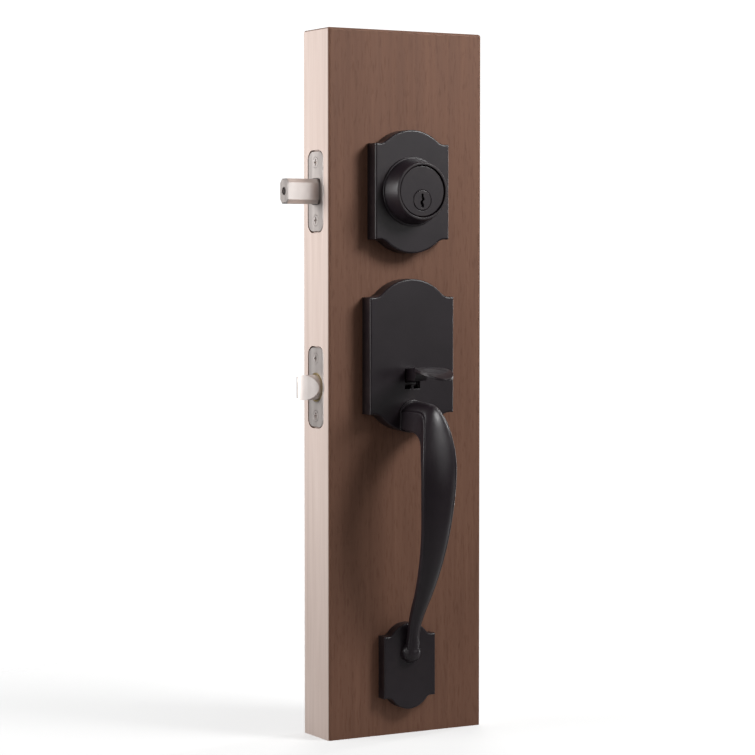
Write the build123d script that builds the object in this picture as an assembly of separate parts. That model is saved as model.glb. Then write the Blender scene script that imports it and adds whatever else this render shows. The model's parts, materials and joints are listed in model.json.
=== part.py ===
from build123d import *
from math import atan2, cos, radians, sin
import os

# Entry handleset: thumb-latch pull grip with a separate keyed deadbolt, on a door section.
# Millimetres.  Origin: centre of the door section's bottom face.  +Z up, the outside of the door
# faces -Y, and the bolts leave the edge face at -X.

# ---- door section ----
DOOR_W = 127.0
DOOR_T = 38.1
DOOR_H = 507.0
DOOR_EASE = 2.0
EDGE_X = -DOOR_W / 2
OUT_Y = -DOOR_T / 2
IN_Y = DOOR_T / 2
BACKSET = 62.0
AX = EDGE_X + BACKSET
BOLT_Z = 391.6
LATCH_Z = BOLT_Z - 139.7
CROSS_BORE_R = 27.0
EDGE_BORE_R = 12.7
MORTISE_W = 23.6
MORTISE_H = 58.9
MORTISE_DEPTH = 2.4
FOOT_BOLT_Z = 61.0
FOOT_BORE_R = 5.5

# ---- faceplates ----
FACEPLATE_W = 22.2
FACEPLATE_H = 57.15
FACEPLATE_T = 2.3
FACEPLATE_CORNER_R = 6.35
FACE_SCREW_OFFSET = 20.6
FACE_SCREW_R = 1.9
FACE_SCREW_HEAD_R = 3.8
FACE_SINK_R = 4.15
FACE_SCREW_LENGTH = 19.0
PILOT_CLEARANCE = 0.1

# ---- decorative plates: width, half height to the shoulders, rise of the arch, depth ----
SHOULDER_FLAT = 3.5
PLATE_WALL = 2.5
PLATE_EDGE_R = 1.2
BOLT_PLATE = (60.6, 34.1, 9.9, 12.0)
UPPER_PLATE = (69.0, 41.75, 13.0, 12.0)
UPPER_PLATE_Z = 274.6
LOWER_PLATE = (42.4, 22.5, 8.7, 9.0)
LOWER_PLATE_Z = 50.2
BOLT_INSIDE_PLATE = (60.0, 34.1, 9.6, 8.0)
ESCUTCHEON = (66.0, 38.0, 11.0, 10.0)

# ---- cylinder ----
COLLAR_BASE_R = 24.8
COLLAR_RIM_R = 20.5
COLLAR_H = 14.5
CYLINDER_FACE_H = 25.5
PLUG_FACE_H = 25.8
COLLAR_BORE_R = 18.7
CYLINDER_R = 18.4
CYLINDER_BODY_R = 17.5
PLUG_Z = BOLT_Z - 6.4
PLUG_R = 6.35
PLUG_HEAD_R = 7.4
PLUG_CLEARANCE = 0.08
PIN_COUNT = 5
PIN_PITCH = 3.97
PIN_R = 1.4
PIN_BORE_R = 1.5
EAR_OFFSET = 21.0
EAR_THREAD_R = 2.3

# ---- deadbolt ----
THROW = 25.4
BOLT_W = 13.0
BOLT_H = 17.8
BOLT_CHAMFER = 2.9
BOLT_REAR_X = EDGE_X + 25.5
BOLT_TURN = 90.0
BOLT_ARM = THROW / 2 / sin(radians(BOLT_TURN / 2))
CRANK_PIN_R = 2.0
CRANK_SLOT_GAP = 0.75
HARD_PIN_R = 2.9

# ---- latch ----
LATCH_THROW = 12.7
LATCH_R = 9.0
LATCH_TURN = 45.0
LATCH_ARM = LATCH_THROW / 2 / sin(radians(LATCH_TURN / 2))
LATCH_PIN_R = 1.8
LATCH_PIN_GAP = 0.2
LATCH_REAR_X = EDGE_X + 18.5
LATCH_OPENING_R = 10.5
PLUNGER_FLAT_Y = 5.2
PLUNGER_OUT = 9.5
PLUNGER_REAR_X = EDGE_X + 6.5
TUBE_R = 11.6
TUBE_BORE_R = 10.45
TUBE_END_X = EDGE_X + 33.3

# ---- both cases ----
CASE_IN_Y = 6.9
CASE_OUT_Y = 8.1
TAIL_IN_Y = 2.2
TAIL_OUT_Y = 3.8
HUB_R = 6.5
HUB_HALF = 8.3
HUB_CLEARANCE = 0.1
ARM_HALF = 1.7

# ---- spindle and lift ----
SPINDLE_SIDE = 8.0
SPINDLE_END_Y = -10.4
SPINDLE_IN_Y = 45.0
SQUARE_CLEARANCE = 0.1
DRIVER_ARM = 3.67
DRIVER_PIN_R = 1.3
DRIVER_R = 8.0
THUMB_PIVOT_Y = -25.3
THUMB_PIVOT_Z = 254.0
THUMB_PIN_R = 1.5
THUMB_BOSS_R = 2.9
THUMB_NOSE_R = 1.5
THUMB_NOSE_Y = -15.3
THUMB_NOSE_GAP = 0.2
SLOT_HALF_W = 6.2
SLOT_LOW_Z = 250.6
SLOT_HIGH_Z = 265.2
SLOT_WEB_TOP_Z = 253.8
THUMB_PADDLE_H = 42.0
THUMB_PADDLE_HALF_W = 12.5
THUMB_PADDLE_HALF_L = 16.5
DISH_R = 38.0
DISH_DEPTH = 1.2
DISH_H = 44.0
DISH_Z = 265.1
DISH_LEAN_DEG = 12.0

# ---- grip ----
NECK_Z = 230.5
FOOT_BALL_R = 7.6
FOOT_BALL_H = 9.0
FOOT_BALL_Z = 60.2
FOOT_STUD_REACH = 5.0
GRIP_FRONT_ROUND = 1.5
GRIP_BACK_ROUND = 0.9
GRIP_ROOT_STEP = 0.8
GRIP_ROOT_H = 1.4
# Sections of the grip: front edge and back line, each as distance from the door and Z, then the
# width and the bulge of the front and of the back.
GRIP_SECTIONS = [
    (9.5, 235.0, 9.5, 221.3, 20.0, 7.0, 1.4),
    (18.0, 235.3, 18.0, 221.2, 19.4, 6.6, 1.4),
    (27.0, 235.6, 25.5, 220.6, 18.4, 6.1, 1.3),
    (35.0, 235.4, 31.5, 218.8, 17.6, 5.7, 1.2),
    (41.0, 233.2, 36.6, 215.2, 18.0, 5.2, 1.2),
    (45.2, 227.2, 40.3, 210.8, 20.4, 4.5, 1.1),
    (47.8, 219.2, 43.0, 206.4, 23.4, 3.9, 1.0),
    (49.9, 210.4, 45.3, 201.6, 26.0, 3.4, 0.9),
    (51.2, 200.6, 46.8, 196.0, 27.4, 3.1, 0.8),
    (51.3, 188.0, 47.0, 187.4, 27.6, 3.0, 0.8),
    (50.3, 173.9, 46.0, 174.4, 26.4, 3.0, 0.8),
    (48.0, 156.7, 43.9, 157.7, 23.7, 3.0, 0.8),
    (44.2, 139.3, 40.3, 141.0, 20.6, 2.9, 0.8),
    (38.2, 121.5, 34.4, 123.5, 17.2, 2.8, 0.8),
    (29.8, 103.4, 26.2, 105.8, 13.6, 2.6, 0.8),
    (22.2, 90.0, 18.4, 92.4, 11.0, 2.2, 0.8),
    (17.8, 80.6, 13.6, 82.0, 9.4, 1.8, 0.8),
    (15.8, 73.0, 11.4, 73.4, 9.0, 1.6, 0.8),
    (15.2, 67.0, 10.6, 67.0, 9.8, 1.6, 0.8),
    (14.2, 60.5, 10.2, 60.5, 10.2, 1.2, 0.8),
]

# ---- trim bolts ----
TRIM_BOLT_DX = 15.6
TRIM_BOLT_DZ = 16.4
TRIM_BOLT_R = 2.4
TRIM_POST_R = 4.0

# ---- inside lever ----
LEVER_NECK_R = 9.4
LEVER_CLEARANCE = 0.08
LEVER_REACH = 100.0
LEVER_END_Y = 59.5
BUSH_R = 12.2
PEG_REACH = 17.2
PEG_DEG = 28.0
LEVER_ROUND = 2.2


def box_between(x0, x1, y0, y1, z0, z1):
    """Box between two corners."""
    centre = Pos((x0 + x1) / 2, (y0 + y1) / 2, (z0 + z1) / 2)
    return centre * Box(abs(x1 - x0), abs(y1 - y0), abs(z1 - z0))


def rod_x(radius, x0, x1, y, z):
    """Round rod along X."""
    return Pos((x0 + x1) / 2, y, z) * Rot(0, 90, 0) * Cylinder(radius, abs(x1 - x0))


def rod_y(radius, y0, y1, x, z):
    """Round rod along Y."""
    return Pos(x, (y0 + y1) / 2, z) * Rot(90, 0, 0) * Cylinder(radius, abs(y1 - y0))


def rod_z(radius, z0, z1, x, y):
    """Round rod along Z."""
    return Pos(x, y, (z0 + z1) / 2) * Cylinder(radius, abs(z1 - z0))


def prism_y(sketch, y0, y1):
    """Sketch drawn in X and Z, filled from y0 to y1."""
    plane = Plane(origin=(0, max(y0, y1), 0), x_dir=(1, 0, 0), z_dir=(0, -1, 0))
    return extrude(plane * sketch, amount=abs(y1 - y0))


def prism_x(sketch, x0, x1):
    """Sketch drawn in Y and Z, filled from x0 to x1."""
    plane = Plane(origin=(min(x0, x1), 0, 0), x_dir=(0, 1, 0), z_dir=(1, 0, 0))
    return extrude(plane * sketch, amount=abs(x1 - x0))


def prism_z(sketch, z0, z1):
    """Sketch drawn in X and Y, filled from z0 to z1."""
    return extrude(Pos(0, 0, min(z0, z1)) * sketch, amount=abs(z1 - z0))


def group(shapes):
    """Separate solids kept together in one node."""
    return Compound(children=[shape.solid() for shape in shapes])


def cross_recess(size, depth, thickness):
    """Cutter for a cross recess, centred at the origin, going down from Z = 0."""
    bar = Pos(0, 0, -depth / 2) * Box(size, thickness, depth)
    return bar + Rot(0, 0, 90) * bar


# ---- decorative plate outline ----

def crest(half_w, shoulder, rise):
    """Flat shoulder, small hollow curve and broad arch, from the left corner to the right one."""
    run = half_w - SHOULDER_FLAT
    lean = 2 * atan2(rise, run)
    total_r = run / sin(lean)
    hollow_r = 0.22 * total_r
    x0 = -run
    bend = (x0 + hollow_r * sin(lean), shoulder + hollow_r * (1 - cos(lean)))
    mid_hollow = (x0 + hollow_r * sin(lean / 2), shoulder + hollow_r * (1 - cos(lean / 2)))
    arch = ThreePointArc(bend, (0, shoulder + rise), (-bend[0], bend[1]))
    left = ThreePointArc((x0, shoulder), mid_hollow, bend)
    right = ThreePointArc((-bend[0], bend[1]), (-mid_hollow[0], mid_hollow[1]), (-x0, shoulder))
    flat_left = Line((-half_w, shoulder), (x0, shoulder))
    flat_right = Line((-x0, shoulder), (half_w, shoulder))
    return [flat_left, left, arch, right, flat_right]


def crest_outline(half_w, shoulder, rise):
    """Closed outline with the crest above and its mirror image below."""
    top = crest(half_w, shoulder, rise)
    bottom = [mirror(edge, about=Plane.XZ) for edge in top]
    left = Line((-half_w, -shoulder), (-half_w, shoulder))
    right = Line((half_w, -shoulder), (half_w, shoulder))
    return make_face(top + bottom + [left, right])


def inset_outline(spec, centre_z, inset):
    """Outline of a decorative plate, drawn smaller all round."""
    width, shoulder, rise, _ = spec
    return Pos(AX, centre_z) * crest_outline(width / 2 - inset, shoulder - inset, rise)


def crest_plate(spec, centre_z, face_y, outward):
    """Hollow cast plate on a door face; outward is -1 outside and +1 inside."""
    front_y = face_y + outward * spec[3]
    plate = prism_y(inset_outline(spec, centre_z, 0), face_y, front_y)
    front = plate.faces().sort_by(Axis.Y)[0 if outward < 0 else -1]
    plate = fillet(front.edges(), PLATE_EDGE_R)
    hollow = inset_outline(spec, centre_z, PLATE_WALL)
    return plate - prism_y(hollow, face_y, front_y - outward * PLATE_WALL)


# ---- door section ----

def door_section():
    door = Pos(0, 0, DOOR_H / 2) * Box(DOOR_W, DOOR_T, DOOR_H)
    upright = door.edges().filter_by(Axis.Z)
    top = door.faces().sort_by(Axis.Z)[-1].edges()
    door = fillet(list(upright) + list(top), DOOR_EASE)
    for z in (BOLT_Z, LATCH_Z):
        door -= rod_y(CROSS_BORE_R, OUT_Y, IN_Y, AX, z)
        door -= rod_x(EDGE_BORE_R, EDGE_X, AX, 0, z)
        pocket = Pos(0, z) * RectangleRounded(MORTISE_W, MORTISE_H, FACEPLATE_CORNER_R + 1.0)
        door -= prism_x(pocket, EDGE_X, EDGE_X + MORTISE_DEPTH)
        for side in (-1, 1):
            pilot_r = FACE_SCREW_R + PILOT_CLEARANCE
            end_x = EDGE_X + FACE_SCREW_LENGTH + 2
            door -= rod_x(pilot_r, EDGE_X, end_x, 0, z + side * FACE_SCREW_OFFSET)
    door -= rod_y(FOOT_BORE_R, OUT_Y, IN_Y, AX, FOOT_BOLT_Z)
    return door


# ---- parts that both edge units share ----

def faceplate(centre_z, opening):
    """Round-cornered faceplate with countersunk holes and an opening drawn in Y and Z."""
    outline = Pos(0, centre_z) * RectangleRounded(FACEPLATE_W, FACEPLATE_H, FACEPLATE_CORNER_R)
    plate = prism_x(outline, EDGE_X, EDGE_X + FACEPLATE_T)
    plate = chamfer(plate.faces().sort_by(Axis.X)[0].edges(), 0.4)
    plate -= prism_x(Pos(0, centre_z) * opening, EDGE_X, EDGE_X + FACEPLATE_T)
    for side in (-1, 1):
        z = centre_z + side * FACE_SCREW_OFFSET
        plate -= rod_x(FACE_SCREW_R + 0.3, EDGE_X, EDGE_X + FACEPLATE_T, 0, z)
        sink = Cone(FACE_SCREW_R + 0.3, FACE_SINK_R, 2.0)
        plate -= Pos(EDGE_X + 1.0, 0, z) * Rot(0, -90, 0) * sink
    return plate


def faceplate_screws(centre_z):
    """Two countersunk wood screws with cross recesses."""
    screws = []
    for side in (-1, 1):
        head = Pos(0, 0, -1.0) * Cone(FACE_SCREW_R, FACE_SCREW_HEAD_R, 2.0)
        shank_length = FACE_SCREW_LENGTH - 2.0
        shank = Pos(0, 0, -2.0 - shank_length / 2) * Cylinder(FACE_SCREW_R, shank_length)
        point = Pos(0, 0, -2.0 - shank_length - 0.9) * Cone(0.3, FACE_SCREW_R, 1.8)
        screw = head + shank + point - cross_recess(4.8, 1.5, 1.1)
        z = centre_z + side * FACE_SCREW_OFFSET
        screws.append(Pos(EDGE_X + 0.05, 0, z) * Rot(0, -90, 0) * screw)
    return group(screws)


def hub(axis_z, arm_length, start_deg, pin_r, socket):
    """Hub in its two journals, with an arm whose crank pin drives the bolt tail."""
    angle = radians(start_deg)
    tip_x = AX + arm_length * sin(angle)
    tip_z = axis_z + arm_length * cos(angle)
    body = rod_y(HUB_R, -HUB_HALF, HUB_HALF, AX, axis_z)
    blank = Pos(0, arm_length / 2) * Rectangle(5.2, arm_length)
    blank += Pos(0, arm_length) * Circle(2.6)
    arm = Pos(AX, axis_z) * Rot(0, 0, -start_deg) * blank
    body += prism_y(arm, -ARM_HALF, ARM_HALF)
    body += rod_y(pin_r, -TAIL_OUT_Y, TAIL_OUT_Y, tip_x, tip_z)
    return body - prism_y(Pos(AX, axis_z) * socket, -HUB_HALF, HUB_HALF)


def round_tube(end_x, centre_z):
    """Rolled tube behind a faceplate."""
    start_x = EDGE_X + MORTISE_DEPTH
    outer = rod_x(TUBE_R, start_x, end_x, 0, centre_z)
    return outer - rod_x(TUBE_BORE_R, start_x, end_x, 0, centre_z)


def case_sides(outline, axis_z):
    """Two side plates of a hub case, with the journal holes."""
    plate = prism_y(outline, -CASE_OUT_Y, -CASE_IN_Y)
    plate -= rod_y(HUB_R + HUB_CLEARANCE, -CASE_OUT_Y, -CASE_IN_Y, AX, axis_z)
    return plate + mirror(plate, about=Plane.XZ)


# ---- deadbolt, edge side ----

def deadbolt_faceplate():
    return faceplate(BOLT_Z, RectangleRounded(BOLT_W + 1.2, BOLT_H + 1.2, 3.2))


def bolt_section():
    """Bolt section in Y and Z: flat sides with cut corners."""
    half_w = BOLT_W / 2
    half_h = BOLT_H / 2
    cut = BOLT_CHAMFER
    side = [(half_w, half_h - cut), (half_w - cut, half_h)]
    side += [(cut - half_w, half_h), (-half_w, half_h - cut)]
    return make_face(Polyline(side + [(-y, -z) for y, z in side], close=True))


def deadbolt_bolt():
    tip_x = EDGE_X - THROW
    bolt = prism_x(Pos(0, BOLT_Z) * bolt_section(), tip_x, BOLT_REAR_X)
    bolt = chamfer(bolt.faces().sort_by(Axis.X)[0].edges(), 0.7)
    return bolt - rod_x(HARD_PIN_R, tip_x, tip_x + 40, 0, BOLT_Z)


def bolt_hardened_pin():
    tip_x = EDGE_X - THROW
    pin = rod_x(HARD_PIN_R - 0.05, tip_x + 1.2, tip_x + 40, 0, BOLT_Z)
    return chamfer(pin.faces().sort_by(Axis.X)[0].edges(), 0.6)


def deadbolt_tail():
    """Two plates behind the bolt, each with an upright slot for the crank pin."""
    slot_x = AX - THROW / 2
    half_slot = CRANK_PIN_R + CRANK_SLOT_GAP
    low = BOLT_Z + 1.5
    outline = Polyline([
        (BOLT_REAR_X, low), (slot_x + half_slot + 2.2, low), (slot_x + half_slot + 2.2, BOLT_Z + 16.4),
        (slot_x - half_slot - 2.2, BOLT_Z + 16.4), (BOLT_REAR_X + 9, BOLT_Z + 8.2),
        (BOLT_REAR_X, BOLT_Z + 8.2)], close=True)
    slot = Pos(slot_x, BOLT_Z + 9.0) * Rectangle(2 * half_slot, 12.0)
    plate = prism_y(make_face(outline) - slot, -TAIL_OUT_Y, -TAIL_IN_Y)
    plates = plate + mirror(plate, about=Plane.XZ)
    bridge = box_between(BOLT_REAR_X, BOLT_REAR_X + 2.0, -TAIL_OUT_Y, TAIL_OUT_Y, low, BOLT_Z + 8.2)
    return plates + bridge


def deadbolt_tube():
    return round_tube(BOLT_REAR_X + 6.0, BOLT_Z)


def deadbolt_case():
    low = BOLT_Z - 14.4
    high = BOLT_Z + 17.4
    outline = Polyline([
        (BOLT_REAR_X + 2.0, BOLT_Z - 6), (BOLT_REAR_X + 2.0, BOLT_Z + 6), (BOLT_REAR_X + 8.5, BOLT_Z + 6),
        (BOLT_REAR_X + 12.5, BOLT_Z + 10), (AX - 19.0, high), (AX + 18.0, high), (AX + 18.0, low),
        (AX - 19.0, low), (BOLT_REAR_X + 12.5, BOLT_Z - 10), (BOLT_REAR_X + 8.5, BOLT_Z - 6)], close=True)
    case = case_sides(make_face(outline), PLUG_Z)
    floor = box_between(AX - 17.0, AX + 18.0, -CASE_IN_Y, CASE_IN_Y, low, low + 1.2)
    return case + floor


def deadbolt_hub():
    socket = Rectangle(2.1, 6.3)
    return hub(PLUG_Z, BOLT_ARM, -BOLT_TURN / 2, CRANK_PIN_R, socket)


# ---- deadbolt, outside ----

def deadbolt_outside_plate():
    plate = crest_plate(BOLT_PLATE, BOLT_Z, OUT_Y, -1)
    return plate - rod_y(CYLINDER_BODY_R + 0.2, OUT_Y - BOLT_PLATE[3] - 1, OUT_Y, AX, BOLT_Z)


def turned_y(points, x, y, z, outward):
    """Solid turned about an axis along Y from points given as (radius, distance outward)."""
    section = make_face(Polyline(points, close=True))
    body = revolve(Plane.XZ * section, Axis.Z)
    return Pos(x, y, z) * Rot(90 if outward < 0 else -90, 0, 0) * body


def deadbolt_collar():
    depth = BOLT_PLATE[3]
    points = [
        (COLLAR_BORE_R, 0), (COLLAR_BASE_R, 0), (COLLAR_BASE_R, 0.9), (COLLAR_BASE_R - 0.5, 1.4),
        (COLLAR_BASE_R - 1.2, 1.4), (COLLAR_RIM_R + 0.25, COLLAR_H - 0.9), (COLLAR_RIM_R - 0.35, COLLAR_H),
        (COLLAR_BORE_R, COLLAR_H)]
    return turned_y(points, AX, OUT_Y - depth, BOLT_Z, -1)


def pin_positions():
    """Y of each pin chamber, from the front one back."""
    first_y = OUT_Y - 18.5
    return [first_y + PIN_PITCH * i for i in range(PIN_COUNT)]


def cylinder_housing():
    face_y = OUT_Y - CYLINDER_FACE_H
    rear_y = OUT_Y + 7.0
    shoulder_y = OUT_Y - BOLT_PLATE[3] - 0.2
    front = rod_y(CYLINDER_R, face_y, shoulder_y, AX, BOLT_Z)
    front = chamfer(front.faces().sort_by(Axis.Y)[0].edges(), 0.8)
    body = front + rod_y(CYLINDER_BODY_R, shoulder_y - 1, rear_y, AX, BOLT_Z)
    ears = Pos(AX, BOLT_Z) * RectangleRounded(17, 51, 8.4)
    body += prism_y(ears, OUT_Y + 1.5, rear_y)
    body -= rod_y(PLUG_R + PLUG_CLEARANCE, face_y, rear_y, AX, PLUG_Z)
    body -= rod_y(PLUG_HEAD_R + 0.1, face_y, face_y + 1.2, AX, PLUG_Z)
    for side in (-1, 1):
        body -= rod_y(EAR_THREAD_R, OUT_Y + 1.5, rear_y, AX, BOLT_Z + side * EAR_OFFSET)
    for y in pin_positions():
        body -= rod_z(PIN_BORE_R, PLUG_Z, PLUG_Z + 18.6, AX, y)
    ys = pin_positions()
    body -= box_between(AX - 2.2, AX + 2.2, ys[0] - 2.4, ys[-1] + 2.4, PLUG_Z + 18.6, PLUG_Z + 26)
    return body


def pin_chamber_cover():
    ys = pin_positions()
    return box_between(AX - 2.15, AX + 2.15, ys[0] - 2.35, ys[-1] + 2.35, PLUG_Z + 18.6, PLUG_Z + 20.2)


def keyway():
    """Warded keyway drawn in X and Z about the plug's axis."""
    return make_face(Polyline([
        (-0.6, 4.6), (0.9, 4.6), (0.9, 2.4), (1.7, 1.6), (1.7, 0.2), (0.4, -0.6), (0.4, -2.0),
        (1.1, -2.8), (1.1, -5.2), (-0.7, -5.2), (-0.7, -3.4), (-1.5, -2.6), (-1.5, -0.8),
        (-0.3, 0.2), (-0.3, 1.4), (-0.6, 1.8)], close=True))


def key_plug():
    face_y = OUT_Y - PLUG_FACE_H
    rear_y = OUT_Y + 10.0
    plug = rod_y(PLUG_R, face_y + 1.0, rear_y, AX, PLUG_Z)
    head = rod_y(PLUG_HEAD_R, face_y, face_y + 1.4, AX, PLUG_Z)
    plug += chamfer(head.faces().sort_by(Axis.Y)[0].edges(), 0.5)
    plug -= prism_y(Pos(AX, PLUG_Z) * keyway(), face_y, OUT_Y + 2.0)
    for y in pin_positions():
        plug -= rod_z(PIN_BORE_R, PLUG_Z - 2.0, PLUG_Z + PLUG_R + 1, AX, y)
    groove_y = OUT_Y + 7.4
    groove = rod_y(PLUG_R + 1, groove_y, groove_y + 1.2, AX, PLUG_Z)
    plug -= groove - rod_y(5.4, groove_y, groove_y + 1.2, AX, PLUG_Z)
    return plug - box_between(AX - 0.85, AX + 0.85, rear_y - 3.0, rear_y, PLUG_Z - 3.05, PLUG_Z + 3.05)


def plug_retaining_clip():
    y = OUT_Y + 7.5
    ring = rod_y(8.2, y, y + 1.0, AX, PLUG_Z) - rod_y(5.5, y, y + 1.0, AX, PLUG_Z)
    return ring - box_between(AX - 2.5, AX + 2.5, y, y + 1.0, PLUG_Z - 9, PLUG_Z)


def key_pins():
    """Five bottom pins of different lengths, standing at the shear line."""
    pins = []
    for i, y in enumerate(pin_positions()):
        length = 5.2 + 0.6 * ((i * 2) % 4)
        top_z = PLUG_Z + PLUG_R - 0.15
        pin = rod_z(PIN_R, top_z - length, top_z, AX, y)
        pins.append(chamfer(pin.faces().sort_by(Axis.Z)[0].edges(), 0.6))
    return group(pins)


def driver_pins():
    low_z = PLUG_Z + PLUG_R + 0.15
    return group([rod_z(PIN_R, low_z, low_z + 5.0, AX, y) for y in pin_positions()])


def coil(pitch, height, radius, wire_r):
    """Open coil spring that stands on Z = 0."""
    path = Helix(pitch=pitch, height=height, radius=radius)
    start = Plane(origin=path @ 0, z_dir=path % 0)
    return sweep(start * Circle(wire_r), path=path, is_frenet=True)


def driver_springs():
    low_z = PLUG_Z + PLUG_R + 5.4
    spring = coil(1.1, 6.2, 1.1, 0.18)
    return group([Pos(AX, y, low_z) * spring for y in pin_positions()])


def tailpiece():
    """Flat blade from the plug through the hub into the thumb-turn."""
    return box_between(AX - 0.8, AX + 0.8, OUT_Y + 7.1, IN_Y + 11.0, PLUG_Z - 3.0, PLUG_Z + 3.0)


# ---- deadbolt, inside ----

def deadbolt_mounting_plate():
    plate = prism_y(inset_outline(BOLT_INSIDE_PLATE, BOLT_Z, PLATE_WALL + 0.8), IN_Y, IN_Y + 1.8)
    plate -= rod_y(9.0, IN_Y, IN_Y + 1.8, AX, PLUG_Z)
    for side in (-1, 1):
        plate -= rod_y(2.4, IN_Y, IN_Y + 1.8, AX, BOLT_Z + side * EAR_OFFSET)
        plate -= rod_y(1.3, IN_Y, IN_Y + 1.8, AX, BOLT_Z + side * 34.5)
    return plate


def pan_screw(head_r, head_h, shank_r, length):
    """Pan-head machine screw, head up on Z = 0, shank going down."""
    head = Pos(0, 0, head_h / 2) * Cylinder(head_r, head_h)
    head = fillet(head.faces().sort_by(Axis.Z)[-1].edges(), head_h * 0.6)
    shank = Pos(0, 0, -length / 2) * Cylinder(shank_r, length)
    return head + shank - Pos(0, 0, head_h) * cross_recess(head_r * 1.1, head_h * 0.7, 0.9)


def screws_from_inside(screw, places, y):
    """Screws with their heads toward +Y, at places given as (x, z)."""
    return group([Pos(x, y, z) * Rot(-90, 0, 0) * screw for x, z in places])


def deadbolt_mounting_screws():
    screw = pan_screw(4.0, 2.4, 2.2, IN_Y - OUT_Y - 1.0)
    places = [(AX, BOLT_Z + side * EAR_OFFSET) for side in (-1, 1)]
    return screws_from_inside(screw, places, IN_Y + 1.8)


def deadbolt_inside_plate():
    plate = crest_plate(BOLT_INSIDE_PLATE, BOLT_Z, IN_Y, 1)
    plate -= rod_y(7.6, IN_Y, IN_Y + 10, AX, PLUG_Z)
    for side in (-1, 1):
        plate -= rod_y(1.7, IN_Y, IN_Y + 10, AX, BOLT_Z + side * 34.5)
    return plate


def deadbolt_inside_plate_screws():
    screw = pan_screw(3.0, 1.6, 1.25, BOLT_INSIDE_PLATE[3])
    places = [(AX, BOLT_Z + side * 34.5) for side in (-1, 1)]
    return screws_from_inside(screw, places, IN_Y + BOLT_INSIDE_PLATE[3])


def thumb_turn():
    """Turn knob: shaft, round flange and a waisted blade, level while the bolt is thrown."""
    plate_y = IN_Y + BOLT_INSIDE_PLATE[3]
    shaft = rod_y(7.5, IN_Y + 2.4, plate_y + 0.3, AX, PLUG_Z)
    shaft -= rod_y(8, IN_Y + 4.2, IN_Y + 5.4, AX, PLUG_Z) - rod_y(6.0, IN_Y + 4.2, IN_Y + 5.4, AX, PLUG_Z)
    flange = rod_y(12.5, plate_y + 0.3, plate_y + 3.3, AX, PLUG_Z)
    flange = fillet(flange.faces().sort_by(Axis.Y)[-1].edges(), 1.2)
    outline = SlotOverall(37, 12) - Pos(0, 24.2) * Circle(20) - Pos(0, -24.2) * Circle(20)
    blade = prism_y(Pos(AX, PLUG_Z) * outline, plate_y + 3.0, plate_y + 17.0)
    blade = fillet(blade.faces().sort_by(Axis.Y)[-1].edges(), 1.5)
    turn = shaft + flange + blade
    return turn - box_between(AX - 1.0, AX + 1.0, IN_Y + 2.0, IN_Y + 11.6, PLUG_Z - 3.2, PLUG_Z + 3.2)


def thumb_turn_clip():
    y = IN_Y + 4.3
    ring = rod_y(9.6, y, y + 1.0, AX, PLUG_Z) - rod_y(6.1, y, y + 1.0, AX, PLUG_Z)
    return ring - box_between(AX - 3, AX + 3, y, y + 1.0, PLUG_Z - 10, PLUG_Z)


# ---- latch, edge side ----

def latch_faceplate():
    return faceplate(LATCH_Z, Circle(LATCH_OPENING_R))


def latch_guide_collar():
    start_x = EDGE_X + 0.6
    ring = rod_x(LATCH_OPENING_R - 0.1, start_x, start_x + 11, 0, LATCH_Z)
    return ring - rod_x(LATCH_R + 0.1, start_x, start_x + 11, 0, LATCH_Z)


def latch_bolt():
    """Round bolt with a rounded bevel toward the outside and a flat for the plunger inside."""
    tip_x = EDGE_X - LATCH_THROW
    bolt = rod_x(LATCH_R, tip_x, LATCH_REAR_X, 0, LATCH_Z)
    bevel = make_face([
        ThreePointArc((EDGE_X - 1.0, -LATCH_R - 1), (EDGE_X - 8.2, -3.0), (tip_x - 0.4, 4.6)),
        Line((tip_x - 0.4, 4.6), (tip_x - 6, 4.6)),
        Line((tip_x - 6, 4.6), (tip_x - 6, -LATCH_R - 1)),
        Line((tip_x - 6, -LATCH_R - 1), (EDGE_X - 1.0, -LATCH_R - 1))])
    bolt -= prism_z(bevel, LATCH_Z - 12, LATCH_Z + 12)
    bolt -= box_between(tip_x - 5, LATCH_REAR_X - 1.3, PLUNGER_FLAT_Y, 12, LATCH_Z - 12, LATCH_Z + 12)
    return bolt - rod_x(4.3, LATCH_REAR_X - 12, LATCH_REAR_X, 0, LATCH_Z)


def latch_plunger():
    tip_x = EDGE_X - PLUNGER_OUT
    rod = rod_x(LATCH_R, tip_x, PLUNGER_REAR_X, 0, LATCH_Z)
    rod -= box_between(tip_x - 1, PLUNGER_REAR_X + 1, -12, PLUNGER_FLAT_Y + 0.2, LATCH_Z - 12, LATCH_Z + 12)
    return chamfer(rod.faces().sort_by(Axis.X)[0].edges(), 0.8)


def plunger_spring():
    length = LATCH_REAR_X - 1.3 - PLUNGER_REAR_X - 0.4
    spring = coil(2.2, length - 0.6, 1.25, 0.22)
    return Pos(PLUNGER_REAR_X + 0.5, PLUNGER_FLAT_Y + 1.75, LATCH_Z) * Rot(0, 90, 0) * spring


def latch_spring():
    start_x = LATCH_REAR_X - 12 + 0.5
    length = TUBE_END_X - 1.4 - start_x - 0.5
    return Pos(start_x, 0, LATCH_Z) * Rot(0, 90, 0) * coil(2.4, length, 3.45, 0.45)


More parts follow.
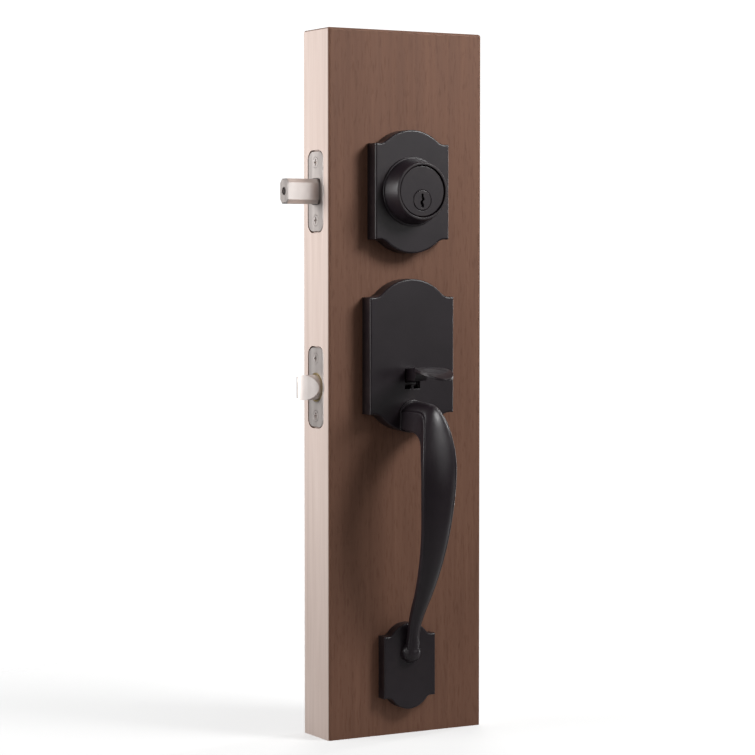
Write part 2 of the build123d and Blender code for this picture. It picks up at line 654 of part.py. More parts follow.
def latch_tail():
    """Bar from the bolt through the spring, ending in two hooks that the crank pin pulls."""
    finger_x = AX - LATCH_THROW / 2 + LATCH_PIN_R + LATCH_PIN_GAP
    bar_end = AX - 20.0
    bar = box_between(LATCH_REAR_X - 12, bar_end, -0.8, 0.8, LATCH_Z - 2.4, LATCH_Z + 2.4)
    block = box_between(bar_end - 3.2, bar_end, -TAIL_OUT_Y, TAIL_OUT_Y, LATCH_Z - 2.4, LATCH_Z + 2.4)
    low = LATCH_Z + 8.0
    outline = make_face(Polyline([
        (bar_end - 3.2, LATCH_Z - 2.4), (bar_end, LATCH_Z - 2.4), (bar_end, LATCH_Z + 3), (AX - 16.3, low),
        (finger_x + 3, low), (finger_x + 3, LATCH_Z + 18.4), (finger_x, LATCH_Z + 18.4),
        (finger_x, LATCH_Z + 11.6), (AX - 18.6, LATCH_Z + 11.6), (bar_end - 3.2, LATCH_Z + 5)], close=True))
    hook = prism_y(outline, -TAIL_OUT_Y, -TAIL_IN_Y)
    return bar + block + hook + mirror(hook, about=Plane.XZ)


def latch_tube():
    tube = round_tube(TUBE_END_X, LATCH_Z)
    wall = rod_x(TUBE_BORE_R + 0.3, TUBE_END_X - 1.3, TUBE_END_X, 0, LATCH_Z)
    wall &= box_between(TUBE_END_X - 2, TUBE_END_X + 1, -6.6, 6.6, LATCH_Z - 12, LATCH_Z + 12)
    window = box_between(TUBE_END_X - 2, TUBE_END_X + 1, -1.1, 1.1, LATCH_Z - 2.7, LATCH_Z + 2.7)
    return tube + wall - window


def latch_case():
    low = LATCH_Z - 9.0
    high = LATCH_Z + 19.2
    outline = Polyline([
        (TUBE_END_X - 1.8, LATCH_Z - 6), (TUBE_END_X - 1.8, LATCH_Z + 6), (TUBE_END_X + 2, LATCH_Z + 6),
        (TUBE_END_X + 6, LATCH_Z + 10), (AX - 17.5, high), (AX + 12.0, high), (AX + 12.0, low),
        (AX - 21.0, low), (TUBE_END_X + 2, LATCH_Z - 6)], close=True)
    case = case_sides(make_face(outline), LATCH_Z)
    floor = box_between(AX - 19.0, AX + 12.0, -CASE_IN_Y, CASE_IN_Y, low, low + 1.2)
    return case + floor


def latch_hub():
    side = SPINDLE_SIDE + 2 * SQUARE_CLEARANCE
    return hub(LATCH_Z, LATCH_ARM, -LATCH_TURN / 2, LATCH_PIN_R, Rectangle(side, side))


# ---- grip, outside ----

def grip_upper_plate():
    plate = crest_plate(UPPER_PLATE, UPPER_PLATE_Z, OUT_Y, -1)
    back_y = OUT_Y - UPPER_PLATE[3] + PLATE_WALL
    for side in (-1, 1):
        x = AX + side * TRIM_BOLT_DX
        z = LATCH_Z + side * TRIM_BOLT_DZ
        plate += rod_y(TRIM_POST_R, back_y - 1, -9.0, x, z)
        plate -= rod_y(TRIM_BOLT_R + 0.1, back_y, -9.0, x, z)
        ear = box_between(AX + side * 5.3, AX + side * 8.3, back_y - 1, back_y + 6.5, 249.0, 259.0)
        plate += ear
    plate -= box_between(AX - SLOT_HALF_W, AX - 5.3, back_y - 3, back_y, SLOT_LOW_Z, SLOT_HIGH_Z)
    plate -= box_between(AX + 5.3, AX + SLOT_HALF_W, back_y - 3, back_y, SLOT_LOW_Z, SLOT_HIGH_Z)
    plate -= box_between(AX - 5.35, AX + 5.35, back_y - 3, back_y + 1, SLOT_LOW_Z, SLOT_HIGH_Z)
    plate += box_between(AX - 0.9, AX + 0.9, back_y - PLATE_WALL, back_y, SLOT_LOW_Z - 1, SLOT_WEB_TOP_Z)
    plate -= rod_x(THUMB_PIN_R + 0.02, AX - 9, AX + 9, THUMB_PIVOT_Y, THUMB_PIVOT_Z)
    return plate - rod_y(3.2, back_y - 3, back_y, AX, NECK_Z)


def corner_arc(corner_x, corner_y, radius, side, up):
    """Quarter arc that rounds a corner; side and up are +1 or -1 and say which corner it is."""
    centre_x = corner_x - side * radius
    centre_y = corner_y - up * radius
    mid = radius * sin(radians(45))
    return ThreePointArc(
        (centre_x, corner_y), (centre_x + side * mid, centre_y + up * mid), (corner_x, centre_y))


def grip_section(front_h, front_z, back_h, back_z, width, front_bulge, back_bulge):
    """Shallow D section with beaded corners between a front and a back point (distance from door, Z)."""
    lean_h = front_h - back_h
    lean_z = front_z - back_z
    depth = (lean_h ** 2 + lean_z ** 2) ** 0.5
    half = width / 2
    front = half - GRIP_FRONT_ROUND
    back = half - GRIP_BACK_ROUND
    side_top = -GRIP_FRONT_ROUND
    side_low = -depth + GRIP_BACK_ROUND
    face = make_face([
        ThreePointArc((-front, 0), (0, front_bulge), (front, 0)),
        corner_arc(half, 0, GRIP_FRONT_ROUND, 1, 1),
        Line((half, side_top), (half, side_low)),
        corner_arc(half, -depth, GRIP_BACK_ROUND, 1, -1),
        ThreePointArc((back, -depth), (0, -depth - back_bulge), (-back, -depth)),
        corner_arc(-half, -depth, GRIP_BACK_ROUND, -1, -1),
        Line((-half, side_low), (-half, side_top)),
        corner_arc(-half, 0, GRIP_FRONT_ROUND, -1, 1)])
    up = Vector(0, -lean_h, lean_z).normalized()
    across = Vector(1, 0, 0)
    plane = Plane(origin=(AX, OUT_Y - front_h, front_z), x_dir=across, z_dir=across.cross(up))
    return plane * face


def grip_root():
    """Low rounded flange where the neck meets the upper plate."""
    _, top_z, _, low_z, width, bulge, low_bulge = GRIP_SECTIONS[0]
    half = width / 2 + GRIP_ROOT_STEP
    outline = make_face([
        ThreePointArc((-half, top_z), (0, top_z + bulge + GRIP_ROOT_STEP), (half, top_z)),
        Line((half, top_z), (half, low_z)),
        ThreePointArc((half, low_z), (0, low_z - low_bulge - GRIP_ROOT_STEP), (-half, low_z)),
        Line((-half, low_z), (-half, top_z))])
    plate_y = OUT_Y - UPPER_PLATE[3]
    flange = prism_y(Pos(AX, 0) * outline, plate_y, plate_y - GRIP_ROOT_H)
    return fillet(flange.faces().sort_by(Axis.Y)[0].edges(), 0.6)


def grip_handle():
    body = loft([grip_section(*row) for row in GRIP_SECTIONS])
    body += grip_root()
    body += Pos(AX, OUT_Y - FOOT_BALL_H, FOOT_BALL_Z) * Sphere(FOOT_BALL_R)
    upper_y = OUT_Y - UPPER_PLATE[3]
    lower_y = OUT_Y - LOWER_PLATE[3]
    body -= box_between(AX - 30, AX + 30, upper_y, upper_y + 8, 205, 255)
    body -= box_between(AX - 30, AX + 30, lower_y, lower_y + 12, 30, 85)
    body -= rod_y(2.6, upper_y - 13, upper_y, AX, NECK_Z)
    return body - rod_y(2.5, lower_y - FOOT_STUD_REACH - 0.5, lower_y, AX, FOOT_BOLT_Z)


def grip_neck_screw():
    back_y = OUT_Y - UPPER_PLATE[3] + PLATE_WALL
    screw = pan_screw(5.0, 3.2, 2.5, 14.0)
    return Pos(AX, back_y, NECK_Z) * Rot(-90, 0, 0) * screw


def grip_lower_plate():
    plate = crest_plate(LOWER_PLATE, LOWER_PLATE_Z, OUT_Y, -1)
    front_y = OUT_Y - LOWER_PLATE[3]
    return plate - rod_y(2.7, front_y - 1, OUT_Y, AX, FOOT_BOLT_Z)


def grip_foot_stud():
    return rod_y(2.45, OUT_Y - LOWER_PLATE[3] - FOOT_STUD_REACH, 9.0, AX, FOOT_BOLT_Z)


def lower_sleeve_nut():
    """Sleeve nut pushed in from the inside, with a domed head."""
    sleeve = rod_y(4.6, -4.0, IN_Y + 1, AX, FOOT_BOLT_Z)
    dome = [ThreePointArc((0, 3.4), (6.4, 2.4), (9.5, 0)), Line((9.5, 0), (0, 0)), Line((0, 0), (0, 3.4))]
    cap = revolve(Plane.XZ * make_face(dome), Axis.Z)
    nut = sleeve + Pos(AX, IN_Y, FOOT_BOLT_Z) * Rot(-90, 0, 0) * cap
    nut -= rod_y(2.5, -4.0, 12.0, AX, FOOT_BOLT_Z)
    slot = box_between(AX - 6, AX + 6, IN_Y + 2.2, IN_Y + 5, FOOT_BOLT_Z - 0.7, FOOT_BOLT_Z + 0.7)
    return nut - slot


def thumb_nose_z():
    """Height of the nose's centre, just under the driver pin at rest."""
    pin_z = LATCH_Z - DRIVER_ARM * sin(radians(LATCH_TURN / 2))
    return pin_z - DRIVER_PIN_R - THUMB_NOSE_GAP - THUMB_NOSE_R


def thumb_profile():
    """Side view of the thumb piece in Y and Z: drooping paddle, stem block and pivot boss."""
    def at(h, z):
        return (OUT_Y - h, z)
    top = Spline(
        at(8.0, 264.3), at(15.0, 265.2), at(24, 266.3), at(36, 266.2), at(48, 263.9), at(58.6, 259.6))
    lip = ThreePointArc(at(58.6, 259.6), at(59.0, 258.8), at(58.3, 258.2))
    under = Spline(at(58.3, 258.2), at(48, 261.8), at(37, 263.8), at(26.4, 262.0), at(23.2, 256.6))
    stem = Polyline(at(23.2, 256.6), at(12.0, 256.6), at(9.3, 255.2), (THUMB_PIVOT_Y, THUMB_PIVOT_Z),
                    (THUMB_PIVOT_Y + 3.0, THUMB_PIVOT_Z), at(4.6, 260.5), at(8.0, 264.3))
    return make_face([top, lip, under, stem]) + Pos(THUMB_PIVOT_Y, THUMB_PIVOT_Z) * Circle(THUMB_BOSS_R)


def thumb_plan():
    """Plan of the thumb piece in X and Y: narrow stem and oval paddle."""
    paddle = Pos(AX, OUT_Y - THUMB_PADDLE_H) * Ellipse(THUMB_PADDLE_HALF_W, THUMB_PADDLE_HALF_L)
    stem = Pos(AX, OUT_Y - 14) * Rectangle(10.0, 34.0)
    return paddle + stem


def thumb_dish():
    """Ball that hollows the top of the paddle, set square to its slope."""
    lean = radians(DISH_LEAN_DEG)
    reach = DISH_R - DISH_DEPTH
    ball_y = OUT_Y - DISH_H - reach * sin(lean)
    return Pos(AX, ball_y, DISH_Z + reach * cos(lean)) * Sphere(DISH_R)


def thumb_piece():
    body = prism_x(thumb_profile(), AX - 14, AX + 14) & prism_z(thumb_plan(), 240, 275)
    body -= thumb_dish()
    nose = (THUMB_NOSE_Y, thumb_nose_z())
    bend = (THUMB_NOSE_Y - 4.4, THUMB_PIVOT_Z - 8.4)
    for start, end in (((THUMB_PIVOT_Y, THUMB_PIVOT_Z - 1.2), bend), (bend, nose)):
        ends = Pos(*start) * Circle(THUMB_NOSE_R) + Pos(*end) * Circle(THUMB_NOSE_R)
        body += prism_x(make_hull(ends.edges()), AX - 5.0, AX - 1.8)
    return body - rod_x(THUMB_PIN_R + 0.08, AX - 12, AX + 12, THUMB_PIVOT_Y, THUMB_PIVOT_Z)


def thumb_pivot_pin():
    return rod_x(THUMB_PIN_R, AX - 8.8, AX + 8.8, THUMB_PIVOT_Y, THUMB_PIVOT_Z)


# ---- spindle and inside trim ----

def square_bar(side, y0, y1):
    return prism_y(Pos(AX, LATCH_Z) * Rectangle(side, side), y0, y1)


def spindle():
    bar = square_bar(SPINDLE_SIDE, SPINDLE_END_Y, SPINDLE_IN_Y)
    return chamfer(bar.edges().filter_by(Axis.Y), 0.4)


def lift_driver():
    """Cup on the spindle's outer end whose pin the thumb piece lifts."""
    front_y = SPINDLE_END_Y - 1.8
    cup = rod_y(DRIVER_R, front_y, -HUB_HALF - 0.3, AX, LATCH_Z)
    cup -= square_bar(SPINDLE_SIDE + 0.1, SPINDLE_END_Y, -HUB_HALF)
    angle = radians(LATCH_TURN / 2)
    pin_x = AX - DRIVER_ARM * cos(angle)
    pin_z = LATCH_Z - DRIVER_ARM * sin(angle)
    return cup + rod_y(DRIVER_PIN_R, front_y - 5.2, front_y + 0.5, pin_x, pin_z)


def trim_mounting_plate():
    plate = prism_y(inset_outline(ESCUTCHEON, LATCH_Z, PLATE_WALL + 0.8), IN_Y, IN_Y + 2.0)
    plate -= rod_y(11.0, IN_Y, IN_Y + 2.0, AX, LATCH_Z)
    for side in (-1, 1):
        x = AX + side * TRIM_BOLT_DX
        plate -= rod_y(TRIM_BOLT_R + 0.2, IN_Y, IN_Y + 2.0, x, LATCH_Z + side * TRIM_BOLT_DZ)
        plate -= rod_y(1.3, IN_Y, IN_Y + 2.0, AX, LATCH_Z + side * 37.0)
    peg_x = AX + PEG_REACH * sin(radians(PEG_DEG))
    peg_z = LATCH_Z + PEG_REACH * cos(radians(PEG_DEG))
    return plate + rod_y(1.2, IN_Y + 1, IN_Y + 6.2, peg_x, peg_z)


def trim_through_bolts():
    screw = pan_screw(4.6, 2.8, TRIM_BOLT_R, IN_Y + 2.0 + 24.0)
    places = [(AX + side * TRIM_BOLT_DX, LATCH_Z + side * TRIM_BOLT_DZ) for side in (-1, 1)]
    return screws_from_inside(screw, places, IN_Y + 2.0)


def inside_escutcheon():
    plate = crest_plate(ESCUTCHEON, LATCH_Z, IN_Y, 1)
    plate -= rod_y(BUSH_R, IN_Y, IN_Y + 12, AX, LATCH_Z)
    for side in (-1, 1):
        plate -= rod_y(1.7, IN_Y, IN_Y + 12, AX, LATCH_Z + side * 37.0)
    return plate


def inside_escutcheon_screws():
    screw = pan_screw(3.0, 1.6, 1.25, ESCUTCHEON[3])
    places = [(AX, LATCH_Z + side * 37.0) for side in (-1, 1)]
    return screws_from_inside(screw, places, IN_Y + ESCUTCHEON[3])


def lever_bushing():
    front_y = IN_Y + ESCUTCHEON[3] + 2.0
    bush = rod_y(BUSH_R - 0.05, IN_Y + 7.0, front_y, AX, LATCH_Z)
    bush += rod_y(14.0, IN_Y + ESCUTCHEON[3], front_y, AX, LATCH_Z)
    bush = chamfer(bush.faces().sort_by(Axis.Y)[-1].edges(), 0.6)
    return bush - rod_y(LEVER_NECK_R + LEVER_CLEARANCE, IN_Y, front_y, AX, LATCH_Z)


def lever_retaining_ring():
    """Ring on the lever's neck, with a tab that pushes the return spring."""
    y = IN_Y + 5.2
    ring = rod_y(12.2, y, y + 1.4, AX, LATCH_Z) - rod_y(8.45, y, y + 1.4, AX, LATCH_Z)
    tab = Pos(AX, LATCH_Z) * Rot(0, 0, 35) * Pos(0, 14.2) * Rectangle(3.0, 6.0)
    return ring + prism_y(tab, y, y + 1.4)


def lever_return_spring():
    """Flat torsion coil around the neck, with one leg at the peg and one at the ring's tab."""
    wire_r = 0.6
    turns = coil(1.5, 2.25, 13.6, wire_r)
    return Pos(AX, IN_Y + 2.7, LATCH_Z) * Rot(-90, 0, 0) * turns


def lever_plan():
    """Arm seen from above, in X and Y: a blade that bows away from the door."""
    front = Spline((0, 58.6), (30, 57.6), (62, 58.8), (LEVER_REACH - 2, 56.2))
    tip = ThreePointArc((LEVER_REACH - 2, 56.2), (LEVER_REACH, 53.9), (LEVER_REACH - 2, 51.6))
    back = Spline((LEVER_REACH - 2, 51.6), (62, 53.0), (30, 50.4), (0, 48.4))
    return Pos(AX, 0) * make_face([front, tip, back, Line((0, 48.4), (0, 58.6))])


def lever_front():
    """Arm seen square to the door, in X and Z: widest two thirds of the way out, with a round end."""
    top = Spline((0, 6.4), (30, 7.2), (64, 8.6), (LEVER_REACH - 9, 7.6))
    tip = ThreePointArc((LEVER_REACH - 9, 7.6), (LEVER_REACH, 0), (LEVER_REACH - 9, -7.6))
    bottom = Spline((LEVER_REACH - 9, -7.6), (64, -8.6), (30, -7.2), (0, -6.4))
    return Pos(AX, LATCH_Z) * make_face([top, tip, bottom, Line((0, -6.4), (0, 6.4))])


def lever_arm():
    arm = prism_z(lever_plan(), LATCH_Z - 12, LATCH_Z + 12) & prism_y(lever_front(), 40, 65)
    arm = arm.solid()
    root = arm.faces().sort_by(Axis.X)[0].edges()
    rounded = [edge for edge in arm.edges() if edge not in root]
    return fillet(rounded, LEVER_ROUND)


def inside_lever():
    neck = rod_y(LEVER_NECK_R, IN_Y + 3.2, LEVER_END_Y, AX, LATCH_Z)
    neck = fillet(neck.faces().sort_by(Axis.Y)[-1].edges(), 3.0)
    groove = rod_y(LEVER_NECK_R + 1, IN_Y + 5.1, IN_Y + 6.7, AX, LATCH_Z)
    groove -= rod_y(8.4, IN_Y + 5.1, IN_Y + 6.7, AX, LATCH_Z)
    lever = neck - groove + lever_arm()
    lever -= square_bar(SPINDLE_SIDE + 0.1, IN_Y, SPINDLE_IN_Y + 0.2)
    return lever - rod_z(2.1, LATCH_Z - 12, LATCH_Z - 3.5, AX, 38.0)


def lever_set_screw():
    screw = rod_z(2.05, LATCH_Z - 9.2, LATCH_Z - 4.1, AX, 38.0)
    return screw - rod_z(1.1, LATCH_Z - 9.2, LATCH_Z - 7.0, AX, 38.0)


NODES = [
    door_section, deadbolt_outside_plate, deadbolt_collar, cylinder_housing, pin_chamber_cover,
    driver_pins, driver_springs, key_plug, key_pins, plug_retaining_clip, tailpiece,
    deadbolt_faceplate, deadbolt_tube, deadbolt_case, deadbolt_hub, deadbolt_bolt, bolt_hardened_pin,
    deadbolt_tail, deadbolt_mounting_plate, deadbolt_mounting_screws, deadbolt_inside_plate,
    deadbolt_inside_plate_screws, thumb_turn, thumb_turn_clip, latch_faceplate, latch_guide_collar,
    latch_tube, latch_case, latch_hub, latch_bolt, latch_tail, latch_spring, latch_plunger,
    plunger_spring, grip_upper_plate, grip_handle, grip_neck_screw, grip_lower_plate, grip_foot_stud,
    lower_sleeve_nut, thumb_piece, thumb_pivot_pin, spindle, lift_driver, trim_mounting_plate,
    trim_through_bolts, inside_escutcheon, inside_escutcheon_screws, lever_bushing,
    lever_retaining_ring, lever_return_spring, inside_lever, lever_set_screw,
]

os.makedirs("parts", exist_ok=True)
for maker in NODES:
    export_step(maker(), "parts/" + maker.__name__ + ".step")
export_step(faceplate_screws(BOLT_Z), "parts/deadbolt_faceplate_screws.step")
export_step(faceplate_screws(LATCH_Z), "parts/latch_faceplate_screws.step")
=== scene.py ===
import json
import math

import bpy
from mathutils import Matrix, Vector


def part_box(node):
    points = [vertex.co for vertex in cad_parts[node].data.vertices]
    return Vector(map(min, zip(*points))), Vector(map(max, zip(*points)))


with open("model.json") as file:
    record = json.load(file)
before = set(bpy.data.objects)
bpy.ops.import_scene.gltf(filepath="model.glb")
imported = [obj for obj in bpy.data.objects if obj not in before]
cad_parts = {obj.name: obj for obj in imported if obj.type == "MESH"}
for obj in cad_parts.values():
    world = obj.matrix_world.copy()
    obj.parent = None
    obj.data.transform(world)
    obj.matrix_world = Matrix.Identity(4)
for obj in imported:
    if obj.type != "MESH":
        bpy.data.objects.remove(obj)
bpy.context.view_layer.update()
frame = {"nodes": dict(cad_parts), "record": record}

DOOR_LOW, DOOR_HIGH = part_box("door_section")
MM = 0.001
EVEN = (1, 1, 1)
UPRIGHT = (1, 1, 0.02)
LENGTHWISE = (0.02, 1, 1)
WHITE = (1.0, 1.0, 1.0)


# ---- materials ----

COAT_IOR = 1.4
EDGE_ROUNDING = 0.55 * MM
WOOD_IOR = 1.3
STAIN = [(0.25, (0.150, 0.071, 0.045)), (0.55, (0.181, 0.089, 0.057)), (0.8, (0.206, 0.105, 0.068))]
# Pale tone for the board's side faces, the ones whose normal lies along X.
PALE_SIDE_TONE = [(0.3, (0.63, 0.51, 0.455)), (0.7, (0.73, 0.61, 0.555))]
# Lighter, browner coat that coated_metal mixes onto convex edges, in patches.
LIGHTER_EDGE_COAT = [(0.3, (0.050, 0.037, 0.033)), (0.7, (0.066, 0.050, 0.044))]


class Shader:
    """A node material being built, with short calls for the nodes it needs."""

    def __init__(self, name):
        self.material = bpy.data.materials.new(name)
        self.material.use_nodes = True
        self.tree = self.material.node_tree
        self.surface = self.tree.nodes["Principled BSDF"]
        self.coords = self.tree.nodes.new("ShaderNodeTexCoord")

    def node(self, kind, **settings):
        made = self.tree.nodes.new(kind)
        for key, value in settings.items():
            setattr(made, key, value)
        return made

    def link(self, source, target):
        self.tree.links.new(source, target)

    def noise(self, stretch, scale, detail=3.0, roughness=0.5, distortion=0.0):
        """Noise in object space, stretched per axis."""
        mapping = self.node("ShaderNodeMapping")
        mapping.inputs["Scale"].default_value = stretch
        self.link(self.coords.outputs["Object"], mapping.inputs["Vector"])
        noise = self.node("ShaderNodeTexNoise")
        noise.inputs["Scale"].default_value = scale
        noise.inputs["Detail"].default_value = detail
        noise.inputs["Roughness"].default_value = roughness
        noise.inputs["Distortion"].default_value = distortion
        self.link(mapping.outputs["Vector"], noise.inputs["Vector"])
        return noise.outputs["Fac"]

    def ramp(self, factor, stops):
        """Colour ramp with stops given as (position, (r, g, b))."""
        ramp = self.node("ShaderNodeValToRGB")
        elements = ramp.color_ramp.elements
        while len(elements) < len(stops):
            elements.new(0.5)
        for element, (position, colour) in zip(elements, stops):
            element.position = position
            element.color = (*colour, 1.0)
        self.link(factor, ramp.inputs["Fac"])
        return ramp.outputs["Color"]

    def span(self, value, low, high, source_low=0.3, source_high=0.7):
        """Value mapped to the range from low to high."""
        span = self.node("ShaderNodeMapRange")
        span.inputs["From Min"].default_value = source_low
        span.inputs["From Max"].default_value = source_high
        span.inputs["To Min"].default_value = low
        span.inputs["To Max"].default_value = high
        self.link(value, span.inputs["Value"])
        return span.outputs["Result"]

    def mix(self, factor, first, second, blend="MIX"):
        """Two colours mixed; factor is a number or a socket."""
        mix = self.node("ShaderNodeMix", data_type="RGBA", blend_type=blend)
        if isinstance(factor, (int, float)):
            mix.inputs["Factor"].default_value = factor
        else:
            self.link(factor, mix.inputs["Factor"])
        self.link(first, mix.inputs["A"])
        self.link(second, mix.inputs["B"])
        return mix.outputs["Result"]

    def colour(self, source):
        self.link(source, self.surface.inputs["Base Color"])

    def roughness(self, source):
        self.link(source, self.surface.inputs["Roughness"])

    def metallic(self, value):
        self.surface.inputs["Metallic"].default_value = value

    def bump(self, height, strength, distance, round_edges=0.0):
        bump = self.node("ShaderNodeBump")
        if round_edges:
            bevel = self.node("ShaderNodeBevel", samples=6)
            bevel.inputs["Radius"].default_value = round_edges
            self.link(bevel.outputs["Normal"], bump.inputs["Normal"])
        bump.inputs["Strength"].default_value = strength
        bump.inputs["Distance"].default_value = distance
        self.link(height, bump.inputs["Height"])
        self.link(bump.outputs["Normal"], self.surface.inputs["Normal"])


def coated_metal(name, dark, light, roughness):
    """Satin coated metal with a fine orange peel, a little lighter and browner in patches on its convex
    edges.
    """
    shader = Shader(name)
    tone = shader.noise(EVEN, 55, 4)
    coat = shader.ramp(tone, [(0.3, dark), (0.7, light)])
    geometry = shader.node("ShaderNodeNewGeometry")
    patches = shader.noise(EVEN, 140, 5, 0.7)
    # Convex edges (from pointiness) broken into patches; there the coat turns lighter and browner.
    edge_patch_mask = shader.node("ShaderNodeMath", operation="MULTIPLY")
    shader.link(shader.span(geometry.outputs["Pointiness"], 0.0, 1.0, 0.54, 0.64), edge_patch_mask.inputs[0])
    shader.link(shader.span(patches, 0.0, 0.35, 0.4, 0.7), edge_patch_mask.inputs[1])
    edge_tone = shader.ramp(tone, LIGHTER_EDGE_COAT)
    shader.colour(shader.mix(edge_patch_mask.outputs["Value"], coat, edge_tone))
    shader.roughness(shader.span(shader.noise(EVEN, 420, 3), roughness - 0.03, roughness + 0.05))
    shader.surface.inputs["IOR"].default_value = COAT_IOR
    shader.bump(shader.noise(EVEN, 1500, 2), 0.05, 0.04 * MM, EDGE_ROUNDING)
    return shader.material


def brushed_metal(name, dark, light, roughness, grain, bump=0.12):
    """Bare or plated metal with brushing; grain is the stretch of the scratches per axis."""
    shader = Shader(name)
    scratches = shader.noise(grain, 60, 6, 0.65)
    cloud = shader.noise(EVEN, 90, 2)
    both = shader.mix(0.6, shader.ramp(cloud, [(0.3, dark), (0.7, light)]),
                      shader.ramp(scratches, [(0.3, dark), (0.7, light)]))
    shader.colour(both)
    shader.roughness(shader.span(scratches, roughness - 0.06, roughness + 0.08))
    shader.metallic(1.0)
    shader.bump(scratches, bump, 0.04 * MM)
    return shader.material


def stained_wood(name):
    """Brown stained faces with fine upright grain, and pale edges."""
    shader = Shader(name)
    long_grain = shader.noise((1, 1, 0.035), 260, 6, 0.62, 0.25)
    broad = shader.noise((1, 1, 0.05), 16, 4, 0.55, 0.6)
    flecks = shader.noise((1, 1, 0.16), 700, 2, 0.5)
    stain = shader.ramp(long_grain, STAIN)
    cast = shader.ramp(broad, [(0.3, (0.88, 0.86, 0.85)), (0.7, WHITE)])
    pores = shader.ramp(flecks, [(0.30, (0.84, 0.81, 0.79)), (0.46, WHITE)])
    face = shader.mix(1.0, shader.mix(1.0, stain, cast, "MULTIPLY"), pores, "MULTIPLY")
    pale = shader.ramp(long_grain, PALE_SIDE_TONE)
    edge = shader.mix(1.0, pale, cast, "MULTIPLY")
    geometry = shader.node("ShaderNodeNewGeometry")
    to_object = shader.node("ShaderNodeVectorTransform", vector_type="NORMAL", convert_from="WORLD",
                            convert_to="OBJECT")
    shader.link(geometry.outputs["Normal"], to_object.inputs["Vector"])
    axes = shader.node("ShaderNodeSeparateXYZ")
    shader.link(to_object.outputs["Vector"], axes.inputs["Vector"])
    side = shader.node("ShaderNodeMath", operation="ABSOLUTE")
    shader.link(axes.outputs["X"], side.inputs[0])
    on_edge = shader.span(side.outputs["Value"], 0.0, 1.0, 0.72, 0.95)
    shader.colour(shader.mix(on_edge, face, edge))
    shader.roughness(shader.span(long_grain, 0.55, 0.68))
    shader.surface.inputs["IOR"].default_value = WOOD_IOR
    shader.bump(long_grain, 0.25, 0.12 * MM)
    return shader.material


def plastic(name, colour, roughness):
    """Matt moulded plastic, slightly uneven in tone."""
    shader = Shader(name)
    tone = shader.noise(EVEN, 300, 2)
    lighter = tuple(c * 1.25 for c in colour)
    shader.colour(shader.ramp(tone, [(0.35, colour), (0.65, lighter)]))
    shader.roughness(shader.span(tone, roughness - 0.05, roughness + 0.05))
    shader.bump(shader.noise(EVEN, 2200, 1), 0.08, 0.03 * MM)
    return shader.material


MATERIALS = {
    "wood": stained_wood("stained_wood"),
    "dark_bronze": coated_metal("satin_dark_bronze", (0.0120, 0.0080, 0.0105),
                                (0.0160, 0.0112, 0.0142), 0.34),
    "satin_nickel": brushed_metal("satin_nickel", (0.56, 0.50, 0.475), (0.74, 0.685, 0.655), 0.40, UPRIGHT),
    "zinc_steel": brushed_metal("zinc_steel", (0.46, 0.48, 0.50), (0.66, 0.68, 0.70), 0.34, LENGTHWISE),
    "yellow_zinc": brushed_metal("yellow_zinc", (0.60, 0.45, 0.20), (0.80, 0.66, 0.38), 0.32, LENGTHWISE),
    "brass": brushed_metal("machined_brass", (0.62, 0.44, 0.18), (0.78, 0.60, 0.28), 0.28, LENGTHWISE),
    "spring_steel": brushed_metal("spring_steel", (0.38, 0.38, 0.40), (0.55, 0.55, 0.57), 0.30, EVEN),
    "hardened_steel": brushed_metal("hardened_steel", (0.10, 0.09, 0.09), (0.17, 0.16, 0.155), 0.36, EVEN),
    "bushing_plastic": plastic("bushing_plastic", (0.022, 0.020, 0.022), 0.5),
}


def dress_cad_nodes():
    """Gives each CAD node the material of its slot."""
    for part in frame["record"]["subparts"]:
        node = frame["nodes"][part["node"]]
        node.data.materials.clear()
        node.data.materials.append(MATERIALS[part["material_slot"]])


# ---- studio ----

FLOOR_REACH = 1.6
FLOOR_ALPHA = 0.5
FADE_START = 0.12
FADE_END = 0.75


def add_floor():
    """Pale floor that fades into the background away from the object."""
    mesh = bpy.data.meshes.new("floor")
    low = DOOR_LOW[2]
    signs = [(-1, -1), (1, -1), (1, 1), (-1, 1)]
    corners = [(x * FLOOR_REACH, y * FLOOR_REACH, low) for x, y in signs]
    mesh.from_pydata(corners, [], [(0, 1, 2, 3)])
    floor = bpy.data.objects.new("floor", mesh)
    bpy.context.scene.collection.objects.link(floor)
    shader = Shader("pale_floor")
    tone = shader.noise(EVEN, 3, 2)
    shader.colour(shader.ramp(tone, [(0.0, (0.88, 0.88, 0.88)), (1.0, (0.92, 0.92, 0.92))]))
    shader.surface.inputs["Roughness"].default_value = 0.8
    distance = shader.node("ShaderNodeVectorMath", operation="LENGTH")
    shader.link(shader.coords.outputs["Object"], distance.inputs["Vector"])
    fade = shader.span(distance.outputs["Value"], FLOOR_ALPHA, 0.0, FADE_START, FADE_END)
    shader.link(fade, shader.surface.inputs["Alpha"])
    mesh.materials.append(shader.material)


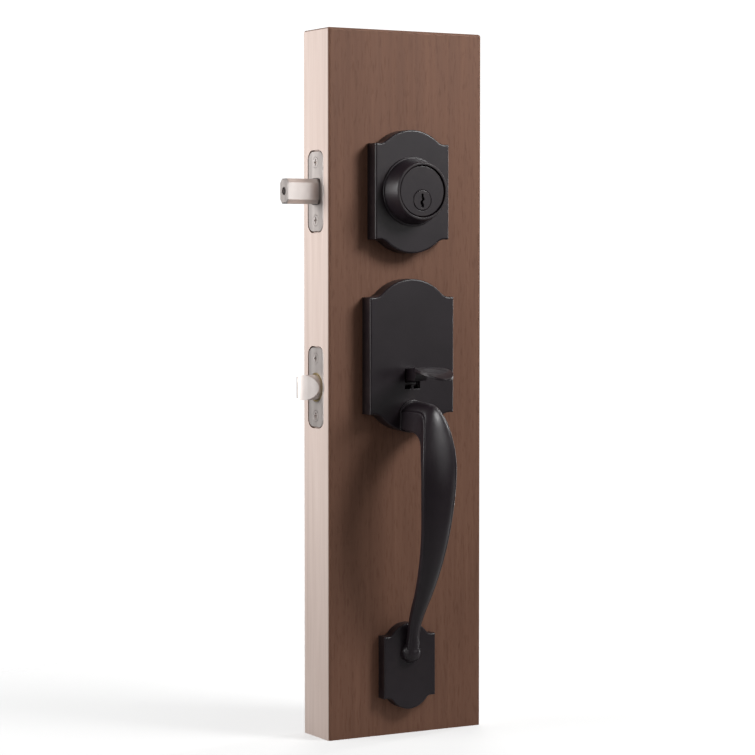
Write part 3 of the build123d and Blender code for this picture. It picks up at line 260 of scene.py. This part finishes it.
def add_world(below, above, seen):
    """White surroundings, dimmer below the horizon; seen is the backdrop's brightness in the camera."""
    world = bpy.data.worlds.new("studio")
    bpy.context.scene.world = world
    world.use_nodes = True
    tree = world.node_tree
    background = tree.nodes["Background"]
    background.inputs["Color"].default_value = (1, 1, 1, 1)
    coords = tree.nodes.new("ShaderNodeTexCoord")
    axes = tree.nodes.new("ShaderNodeSeparateXYZ")
    tree.links.new(coords.outputs["Generated"], axes.inputs["Vector"])
    height = tree.nodes.new("ShaderNodeMapRange")
    height.inputs["From Min"].default_value = -0.5
    height.inputs["From Max"].default_value = 0.7
    height.inputs["To Min"].default_value = below
    height.inputs["To Max"].default_value = above
    tree.links.new(axes.outputs["Z"], height.inputs["Value"])
    path = tree.nodes.new("ShaderNodeLightPath")
    strength = tree.nodes.new("ShaderNodeMapRange")
    strength.inputs["To Max"].default_value = seen
    tree.links.new(path.outputs["Is Camera Ray"], strength.inputs["Value"])
    tree.links.new(height.outputs["Result"], strength.inputs["To Min"])
    tree.links.new(strength.outputs["Result"], background.inputs["Strength"])


def aim(obj, target):
    """Turns a lamp so that it faces the target."""
    direction = Vector(target) - obj.location
    obj.rotation_euler = direction.to_track_quat("-Z", "Y").to_euler()


def add_area(name, place, target, width, height, power, spread=180):
    """Soft panel; spread is the full angle in degrees of the cone that it lights."""
    light = bpy.data.lights.new(name, "AREA")
    light.shape = "RECTANGLE"
    light.size = width
    light.size_y = height
    light.energy = power
    light.spread = math.radians(spread)
    lamp = bpy.data.objects.new(name, light)
    lamp.location = place
    bpy.context.scene.collection.objects.link(lamp)
    aim(lamp, target)


def show_true_colours():
    """Plain display of the materials' colours, without a film curve."""
    bpy.context.scene.view_settings.view_transform = "Standard"


CAMERA_PLACE = (-0.8945, -1.55595, 0.3427)
CAMERA_TILT = 87.28
CAMERA_TURN = -29.54
CAMERA_LENS = 117.7
CAMERA_SENSOR = 36.0


def add_camera():
    """Long lens to the left of the door section, at the photo's viewpoint."""
    data = bpy.data.cameras.new("camera")
    data.lens = CAMERA_LENS
    data.sensor_width = CAMERA_SENSOR
    camera = bpy.data.objects.new("camera", data)
    camera.location = CAMERA_PLACE
    camera.rotation_euler = (math.radians(CAMERA_TILT), 0, math.radians(CAMERA_TURN))
    bpy.context.scene.collection.objects.link(camera)
    bpy.context.scene.camera = camera


MIDDLE = (0, 0, DOOR_HIGH[2] / 2)
HIGH = (0, 0, DOOR_HIGH[2] * 0.86)


def light_studio():
    """Six soft panels; each has a place, a target, a width, a height and a power in watts."""
    add_area("key_left", (-1.0, 0.3, 0.58), HIGH, 0.55, 0.6, 1.95, spread=64)
    add_area("front_high", (0.6, -0.7, 0.95), HIGH, 0.4, 0.4, 2.3, spread=75)
    add_area("panel_right", (1.0, -1.5, 0.75), HIGH, 1.1, 1.1, 4.2)
    add_area("strip_right", (0.9, 0.2, 0.4), MIDDLE, 0.06, 1.0, 4)
    add_area("strip_left", (-1.05, -0.55, 0.35), MIDDLE, 0.05, 0.9, 1.5)
    add_area("back_fill", (0.7, 1.3, 0.8), MIDDLE, 0.8, 0.8, 9)


dress_cad_nodes()
add_floor()
add_world(below=0.03, above=0.24, seen=1.1)
light_studio()
show_true_colours()
add_camera()
